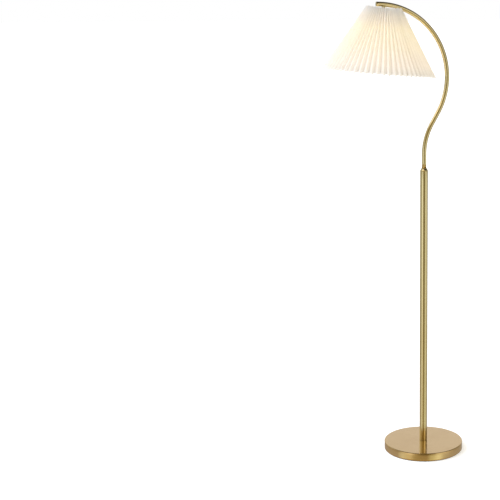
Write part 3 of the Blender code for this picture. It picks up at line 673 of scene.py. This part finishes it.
PLAIN_FINISHES = {                    # record's slot: look
    "raw_brass": {"name": "brass_raw", "tone": (0.80, 0.60, 0.26), "deep": (0.68, 0.49, 0.20),
                  "metallic": 1.0, "rough": 0.35, "scale": 900.0, "grain": 0.10},
    "steel": {"name": "steel_zinc", "tone": (0.62, 0.62, 0.64), "deep": (0.50, 0.50, 0.52),
              "metallic": 1.0, "rough": 0.38, "scale": 700.0, "grain": 0.12},
    "white_wire": {"name": "wire_white", "tone": (0.86, 0.85, 0.83), "deep": (0.80, 0.79, 0.77),
                   "rough": 0.42, "scale": 1400.0, "grain": 0.20, "coat": 0.2},
    "cement": {"name": "cement_cast", "tone": (0.48, 0.46, 0.44), "deep": (0.34, 0.33, 0.31),
               "rough": 0.9, "scale": 160.0, "grain": 0.6, "relief": 0.0006},
    "foot_pad": {"name": "pad_foam", "tone": (0.045, 0.045, 0.045), "deep": (0.02, 0.02, 0.02),
                 "rough": 0.85, "scale": 1200.0, "grain": 0.5, "relief": 0.0004},
    "black_plastic": {"name": "plastic_black", "tone": (0.045, 0.045, 0.045),
                      "deep": (0.025, 0.025, 0.025), "rough": 0.45, "scale": 1500.0,
                      "grain": 0.2},
    "white_plastic": {"name": "plastic_white", "tone": (0.86, 0.85, 0.82),
                      "deep": (0.80, 0.79, 0.76), "rough": 0.34, "scale": 1100.0,
                      "grain": 0.08},
    "ceramic": {"name": "ceramic_white", "tone": (0.88, 0.86, 0.82), "deep": (0.82, 0.79, 0.74),
                "rough": 0.32, "scale": 500.0, "grain": 0.10, "coat": 0.3},
    "cable_sheath": {"name": "cable_pale", "tone": (0.78, 0.76, 0.71), "deep": (0.70, 0.68, 0.63),
                     "rough": 0.55, "scale": 900.0, "grain": 0.12},
    "core_brown": {"name": "core_brown", "tone": (0.22, 0.10, 0.05), "deep": (0.16, 0.07, 0.03),
                   "rough": 0.5, "scale": 900.0, "grain": 0.10},
    "core_blue": {"name": "core_blue", "tone": (0.06, 0.14, 0.42), "deep": (0.04, 0.10, 0.32),
                  "rough": 0.5, "scale": 900.0, "grain": 0.10},
}
PLAIN_BRASS = {"name": "brass_plain", "tone": BRASS_TONE, "deep": BRASS_DEEP, "metallic": 1.0,
               "rough": 0.26, "scale": 900.0, "grain": 0.08, "coat": 0.2}


def dress(tree, shader, blend, tones, rough, normal, tint=(0.35, 0.65), swing=(0.04, 0.05)):
    """Colour and roughness both follow blend. swing is how far the roughness goes each way."""
    tree.links.new(mix_colour(tree, fade(tree, blend, *tint), *tones),
                   shader.inputs["Base Color"])
    tree.links.new(fade(tree, blend, 0.3, 0.7, rough - swing[0], rough + swing[1]),
                   shader.inputs["Roughness"])
    tree.links.new(normal, shader.inputs["Normal"])


def brushed_brass(name, tone, deep, rough, grain):
    """Lacquered brass tube, brushed round and round."""
    material, tree, shader = new_material(name)
    metres = coordinates(tree, "UV")
    hair = noise(tree, stretched(tree, metres, BRUSH_LINES), 1.0, 4.0, 0.6)
    cloud = noise(tree, stretched(tree, metres, BRUSH_CLOUDS), 1.0, 2.0)
    dress(tree, shader, weighted(tree, hair, cloud, 0.6), (deep, tone), rough,
          bump(tree, hair, grain, HAIR_DEPTH))
    shader.inputs["Metallic"].default_value = 1.0
    shader.inputs["Coat Weight"].default_value = 0.25
    shader.inputs["Coat Roughness"].default_value = 0.18
    return material


def satin_brass(name, tone, deep, rough, grain):
    """The foot's cover: hairlines that run round its centre, with a soft lacquer."""
    material, tree, shader = new_material(name)
    place = coordinates(tree)
    x, y, z = split(tree, place)
    radius = calc(tree, "SQRT", calc(tree, "ADD", calc(tree, "MULTIPLY", x, x),
                                     calc(tree, "MULTIPLY", y, y)))
    polar = add_node(tree, "ShaderNodeCombineXYZ",
                     {"X": calc(tree, "MULTIPLY", radius, HAIRLINES),
                      "Y": calc(tree, "MULTIPLY", calc(tree, "ARCTAN2", y, x), 3.0),
                      "Z": calc(tree, "MULTIPLY", z, HAIRLINES)}).outputs[0]
    hair = noise(tree, polar, 1.0, 4.0, 0.65)
    cloud = noise(tree, place, 14.0, 3.0)
    dress(tree, shader, weighted(tree, hair, cloud, 0.5), (deep, tone), rough,
          bump(tree, hair, grain, HAIR_DEPTH), tint=(0.36, 0.64))
    shader.inputs["Metallic"].default_value = 1.0
    shader.inputs["Coat Weight"].default_value = 0.2
    shader.inputs["Coat Roughness"].default_value = 0.3
    return material


def mottled(name, tone, deep, rough, scale, grain, metallic=0.0, coat=0.0, relief=0.0001):
    """A general finish: two tones in a fine noise, with matching roughness and bump."""
    material, tree, shader = new_material(name)
    place = coordinates(tree)
    fine = noise(tree, place, scale, 4.0, 0.6)
    broad = noise(tree, place, scale / 12.0, 2.0)
    dress(tree, shader, weighted(tree, fine, broad, 0.6), (deep, tone), rough,
          bump(tree, fine, grain, relief), swing=(0.05, 0.06))
    shader.inputs["Metallic"].default_value = metallic
    shader.inputs["Coat Weight"].default_value = coat
    return material


def opal_glass(name):
    material, tree, shader = new_material(name)
    cloud = noise(tree, coordinates(tree), 60.0, 2.0)
    tree.links.new(mix_colour(tree, cloud, (0.96, 0.92, 0.85), (0.98, 0.95, 0.90)),
                   shader.inputs["Base Color"])
    tree.links.new(fade(tree, cloud, 0.3, 0.7, 0.18, 0.28), shader.inputs["Roughness"])
    shader.inputs["Emission Color"].default_value = (*BULB_COLOUR, 1.0)
    shader.inputs["Emission Strength"].default_value = BULB_GLOW
    shader.inputs["Coat Weight"].default_value = 0.5
    shader.inputs["Coat Roughness"].default_value = 0.05
    return material


def pleated_fabric(name):
    """Woven off-white cloth: a plain weave with slubs, which lets the lamp's light through. Its
    glow by depth is painted, as is the shade near the top and in the inner creases.
    """
    material, tree, shader = new_material(name)
    metres = coordinates(tree, "UV")
    across, down, _ = split(tree, metres)
    warp = calc(tree, "SINE", calc(tree, "MULTIPLY", across, math.tau / THREAD))
    weft = calc(tree, "SINE", calc(tree, "MULTIPLY", down, math.tau / THREAD))
    weave = calc(tree, "MULTIPLY", warp, weft)
    slub = noise(tree, stretched(tree, metres, SLUBS), 1.0, 3.0, 0.6)
    streak = noise(tree, stretched(tree, metres, STREAKS), 1.0, 3.0, 0.6)
    cloth = weighted(tree, slub, streak, 0.55)
    tint = fade(tree, cloth, 0.35, 0.65)
    tree.links.new(mix_colour(tree, tint, CLOTH_DEEP, CLOTH_PALE), shader.inputs["Base Color"])
    height = calc(tree, "ADD", calc(tree, "MULTIPLY", weave, 0.5),
                  calc(tree, "MULTIPLY", cloth, 1.2))
    normal = bump(tree, height, 0.25, CLOTH_RELIEF)
    tree.links.new(normal, shader.inputs["Normal"])
    shader.inputs["Roughness"].default_value = 0.85
    shader.inputs["Specular IOR Level"].default_value = 0.2
    shader.inputs["Sheen Weight"].default_value = 0.15

    drop = split(tree, coordinates(tree))[2]
    depth = calc(tree, "MULTIPLY", drop, -1.0 / SHADE_DEPTH)
    tree.links.new(ramp(tree, depth, GLOW), shader.inputs["Emission Color"])
    shader.inputs["Emission Strength"].default_value = 1.0

    # 0 in the inner creases and 0.5 on the ridges
    fold = calc(tree, "PINGPONG", calc(tree, "MULTIPLY", across, PLEATS / SHEET_CUT[0]), 0.5)
    lit = mix_colour(tree, tint, THROUGH_DEEP, THROUGH_PALE)
    # painted shade: the light passed through is dimmed and cooled near the top
    lit = mix_colour(tree, 1.0, lit, ramp(tree, depth, PAINTED_TOP_SHADE), mode="MULTIPLY")
    # painted shade: the light passed through is darker in the inner creases
    lit = mix_colour(tree, fade(tree, fold, *PAINTED_CREASE_SHADE_FADE), lit, PAINTED_CREASE_SHADE, mode="MULTIPLY")
    through = add_node(tree, "ShaderNodeBsdfTranslucent", {"Color": lit, "Normal": normal})
    both = add_node(tree, "ShaderNodeMixShader",
                    {0: CLOTH_THROUGH, 1: shader.outputs[0], 2: through.outputs[0]})
    tree.links.new(both.outputs[0], tree.get_output_node("ALL").inputs["Surface"])
    return material


def paint(pieces):
    """Gives every piece and every frame part the finish that its slot names."""
    finishes = {slot: mottled(**look) for slot, look in PLAIN_FINISHES.items()}
    finishes["brass"] = brushed_brass("brass_brushed", BRASS_TONE, BRASS_DEEP, 0.20, 0.08)
    finishes["satin_brass"] = satin_brass("brass_satin", SATIN_TONE, SATIN_DEEP, 0.15, 0.10)
    finishes["pleated_fabric"] = pleated_fabric("cloth_pleated")
    finishes["opal_glass"] = opal_glass("glass_opal")
    for piece in pieces:
        piece.data.materials.append(finishes[piece["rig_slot"]])

    # the frame's meshes carry no UVs, so their brass has no brushing
    plain_brass = mottled(**PLAIN_BRASS)
    slots = {part["node"]: part["material_slot"] for part in frame["record"]["subparts"]}
    for name, node in frame["nodes"].items():
        slot = slots[name]
        node.data.materials.clear()
        node.data.materials.append(plain_brass if slot in ("brass", "satin_brass")
                                   else finishes[slot])
        soften(node)


SHARP_EDGE = 35.0


def soften(node):
    """Shades a frame part smoothly, except over its sharp edges."""
    mesh = node.data
    custom = mesh.attributes.get("custom_normal")
    if custom is not None:
        mesh.attributes.remove(custom)
    mesh.shade_smooth()
    weld = node.modifiers.new("weld", "WELD")
    weld.merge_threshold = MERGE
    edges = node.modifiers.new("sharp", "EDGE_SPLIT")
    edges.split_angle = math.radians(SHARP_EDGE)


# ---------------------------------------------------------------- studio
TOWARDS_CAMERA = Vector((CAMERA_PLACE[0], CAMERA_PLACE[1], 0.0)).normalized()
CAMERA_RIGHT = Vector((-TOWARDS_CAMERA.y, TOWARDS_CAMERA.x, 0.0))

# What the brass reflects, as (bearing, colour) round the room. The bearing is counted from the
# viewer's side of the room, from -1 over its left to 1 over its right. The heights below are
# those of the direction's end on a ball of radius 1, and each part of the room gives way to the
# next between two of them.
BANDS = (
    (-1.00, (0.40, 0.38, 0.31)), (-0.57, (0.42, 0.40, 0.33)), (-0.43, (0.36, 0.34, 0.26)),
    (-0.31, (0.85, 0.84, 0.77)), (-0.20, (1.15, 1.14, 1.07)), (-0.11, (0.48, 0.43, 0.29)),
    (-0.03, (0.20, 0.16, 0.08)), (0.07, (0.15, 0.12, 0.05)), (0.15, (0.28, 0.24, 0.14)),
    (0.25, (0.74, 0.71, 0.59)), (0.38, (0.86, 0.84, 0.74)), (0.50, (0.60, 0.57, 0.49)),
    (0.60, (0.36, 0.34, 0.27)), (0.80, (0.37, 0.35, 0.29)), (1.00, (0.40, 0.38, 0.31)),
)
LOW_BANDS = (                         # below them, where the pale floor evens them out
    (-1.00, (0.42, 0.37, 0.33)), (-0.48, (0.44, 0.39, 0.35)), (-0.36, (0.74, 0.74, 0.65)),
    (-0.24, (0.68, 0.62, 0.43)), (-0.14, (0.42, 0.355, 0.20)), (0.05, (0.42, 0.335, 0.19)),
    (0.15, (0.74, 0.73, 0.50)), (0.26, (0.95, 0.98, 0.78)), (0.37, (0.52, 0.495, 0.41)),
    (0.50, (0.45, 0.41, 0.36)), (0.75, (0.40, 0.36, 0.32)), (1.00, (0.42, 0.37, 0.33)),
)
LOW_FADE = (-0.30, -0.355)
CEILING = (                           # the dim room behind the viewer runs up into it
    (-1.00, (0.50, 0.49, 0.46)), (-0.65, (0.68, 0.66, 0.60)), (-0.25, (0.42, 0.36, 0.27)),
    (-0.12, (0.29, 0.21, 0.07)), (0.11, (0.29, 0.21, 0.07)), (0.18, (0.62, 0.53, 0.36)),
    (0.24, (0.90, 0.82, 0.70)), (0.32, (0.92, 0.84, 0.72)), (0.41, (0.25, 0.21, 0.14)),
    (0.48, (0.15, 0.125, 0.08)), (0.68, (0.15, 0.125, 0.08)), (0.80, (0.38, 0.34, 0.27)),
    (1.00, (0.50, 0.49, 0.46)),
)
CEILING_FADE = (0.0, 0.18)
OVERHEAD = (0.06, 0.05, 0.035)
OVERHEAD_FADE = (0.45, 0.66)
DIMMED = (0.78, 0.69, 0.58)           # the softboxes end above the floor
DIMMED_FADE = (-0.20, -0.31)
HAZE = (0.20, 0.16, 0.10)             # a dim stripe of wall at eye level
HAZE_FADE = (-0.10, -0.04)
HAZE_SHARE = 0.25
BACKDROP = (0.69, 0.665, 0.68)
BACKDROP_WIDTH = (0.66, 0.88)         # how directly away from the camera it lies
BACKDROP_FOOT = (0.02, 0.14)
BACKDROP_TOP = (0.65, 0.45)
GROUND = (0.38, 0.27, 0.12)
GROUND_FADE = (-0.42, -0.55)
UNDERFOOT = (0.56, 0.45, 0.28)
UNDERFOOT_FADE = (-0.65, -0.85)

FILL_LEFT = (1.08, 1.13, 1.34)        # what lights everything that isn't glossy
FILL_RIGHT = (0.46, 0.39, 0.16)
FILL_FADE = (-0.9, 0.9)


def reflected_room(tree, along):
    """The room's colour in the direction that a glossy ray takes."""
    height = along((0, 0, 1))
    bearing = calc(tree, "ARCTAN2", along(CAMERA_RIGHT), along(TOWARDS_CAMERA))
    share = calc(tree, "ADD", calc(tree, "MULTIPLY", bearing, 1.0 / math.tau), 0.5)
    high, low, ceiling = (ramp(tree, share, [((position + 1) / 2, colour)
                                             for position, colour in stops])
                          for stops in (BANDS, LOW_BANDS, CEILING))
    high = mix_colour(tree, fade(tree, height, *DIMMED_FADE), high, DIMMED, mode="MULTIPLY")
    room = mix_colour(tree, fade(tree, height, *LOW_FADE), high, low)
    room = mix_colour(tree, fade(tree, height, *HAZE_FADE, end=HAZE_SHARE), room, HAZE)
    room = mix_colour(tree, fade(tree, height, *CEILING_FADE), room, ceiling)
    room = mix_colour(tree, fade(tree, height, *OVERHEAD_FADE), room, OVERHEAD)
    behind = calc(tree, "MULTIPLY", along(TOWARDS_CAMERA), -1.0)
    far_side = calc(tree, "MULTIPLY", fade(tree, behind, *BACKDROP_WIDTH),
                    fade(tree, height, *BACKDROP_FOOT))
    far_side = calc(tree, "MULTIPLY", far_side, fade(tree, height, *BACKDROP_TOP))
    room = mix_colour(tree, far_side, room, BACKDROP)
    ground = mix_colour(tree, fade(tree, height, *UNDERFOOT_FADE), GROUND, UNDERFOOT)
    return mix_colour(tree, fade(tree, height, *GROUND_FADE), room, ground)


def make_world():
    """White to the eye, a painted studio to glossy rays, and a soft fill to all others."""
    world = bpy.data.worlds.new("studio")
    SCENE.world = world
    world.use_nodes = True
    world.cycles.sampling_method = "NONE"
    tree = world.node_tree
    tree.nodes.clear()
    direction = add_node(tree, "ShaderNodeTexCoord").outputs["Generated"]

    def along(axis):
        made = add_node(tree, "ShaderNodeVectorMath", {0: direction, 1: tuple(axis)},
                        operation="DOT_PRODUCT")
        return made.outputs["Value"]

    sides = mix_colour(tree, fade(tree, along(CAMERA_RIGHT), *FILL_FADE), FILL_LEFT, FILL_RIGHT)
    seen, glossy, fill = (add_node(tree, "ShaderNodeBackground", {"Color": colour}).outputs[0]
                          for colour in ((1, 1, 1, 1), reflected_room(tree, along), sides))
    rays = add_node(tree, "ShaderNodeLightPath").outputs
    unseen = add_node(tree, "ShaderNodeMixShader", {0: rays["Is Glossy Ray"], 1: fill, 2: glossy})
    everything = add_node(tree, "ShaderNodeMixShader",
                          {0: rays["Is Camera Ray"], 1: unseen.outputs[0], 2: seen})
    add_node(tree, "ShaderNodeOutputWorld", {"Surface": everything.outputs[0]})


KEY_STRENGTH = 1.65
KEY_ANGLE = math.radians(70.0)
KEY_COLOUR = (1.0, 1.0, 1.03)
KEY_PLACE = (0.20, -1.0, 0.80)        # towards the camera, to its right, up


def make_light():
    """One broad key light from the left. The brass doesn't reflect it."""
    data = bpy.data.lights.new("key", "SUN")
    data.energy = KEY_STRENGTH
    data.angle = KEY_ANGLE
    data.color = KEY_COLOUR
    key = bpy.data.objects.new("key", data)
    SCENE.collection.objects.link(key)
    source = (TOWARDS_CAMERA * KEY_PLACE[0] + CAMERA_RIGHT * KEY_PLACE[1]
              + Vector((0, 0, KEY_PLACE[2])))
    key.rotation_mode = "QUATERNION"
    key.rotation_quaternion = source.to_track_quat("Z", "Y")
    key.visible_glossy = False


FLOOR_GLOW = 0.50                     # paper lit from below, which keeps the shadow faint
FLOOR_REACH = 150.0
FLOOR_GAP = 0.0002


def make_floor():
    material, tree, shader = new_material("floor_paper")
    grain = noise(tree, coordinates(tree), 40.0, 2.0)
    tree.links.new(mix_colour(tree, grain, (0.78, 0.78, 0.78), (0.81, 0.81, 0.81)),
                   shader.inputs["Base Color"])
    shader.inputs["Roughness"].default_value = 1.0
    shader.inputs["Specular IOR Level"].default_value = 0.0
    shader.inputs["Emission Color"].default_value = (1.0, 1.0, 1.0, 1.0)
    shader.inputs["Emission Strength"].default_value = FLOOR_GLOW
    bm = bmesh.new()
    bmesh.ops.create_grid(bm, x_segments=1, y_segments=1, size=FLOOR_REACH)
    mesh = bpy.data.meshes.new("floor")
    bm.to_mesh(mesh)
    bm.free()
    mesh.materials.append(material)
    floor = bpy.data.objects.new("floor", mesh)
    SCENE.collection.objects.link(floor)
    floor.location.z = CAD_BOX[0].z - FLOOR_GAP
    floor.visible_glossy = False


# ---------------------------------------------------------------- the whole scene
paint([make_foot(), make_post(), make_collar(), make_arm(), make_end_cap(), make_holder_cap(),
       make_holder_body(), make_ring_nut(), make_bulb(), *make_rings(), make_shade()])
make_world()
make_light()
make_floor()
SCENE.view_settings.view_transform = "Standard"
SCENE.view_settings.look = "None"
bpy.context.view_layer.update()
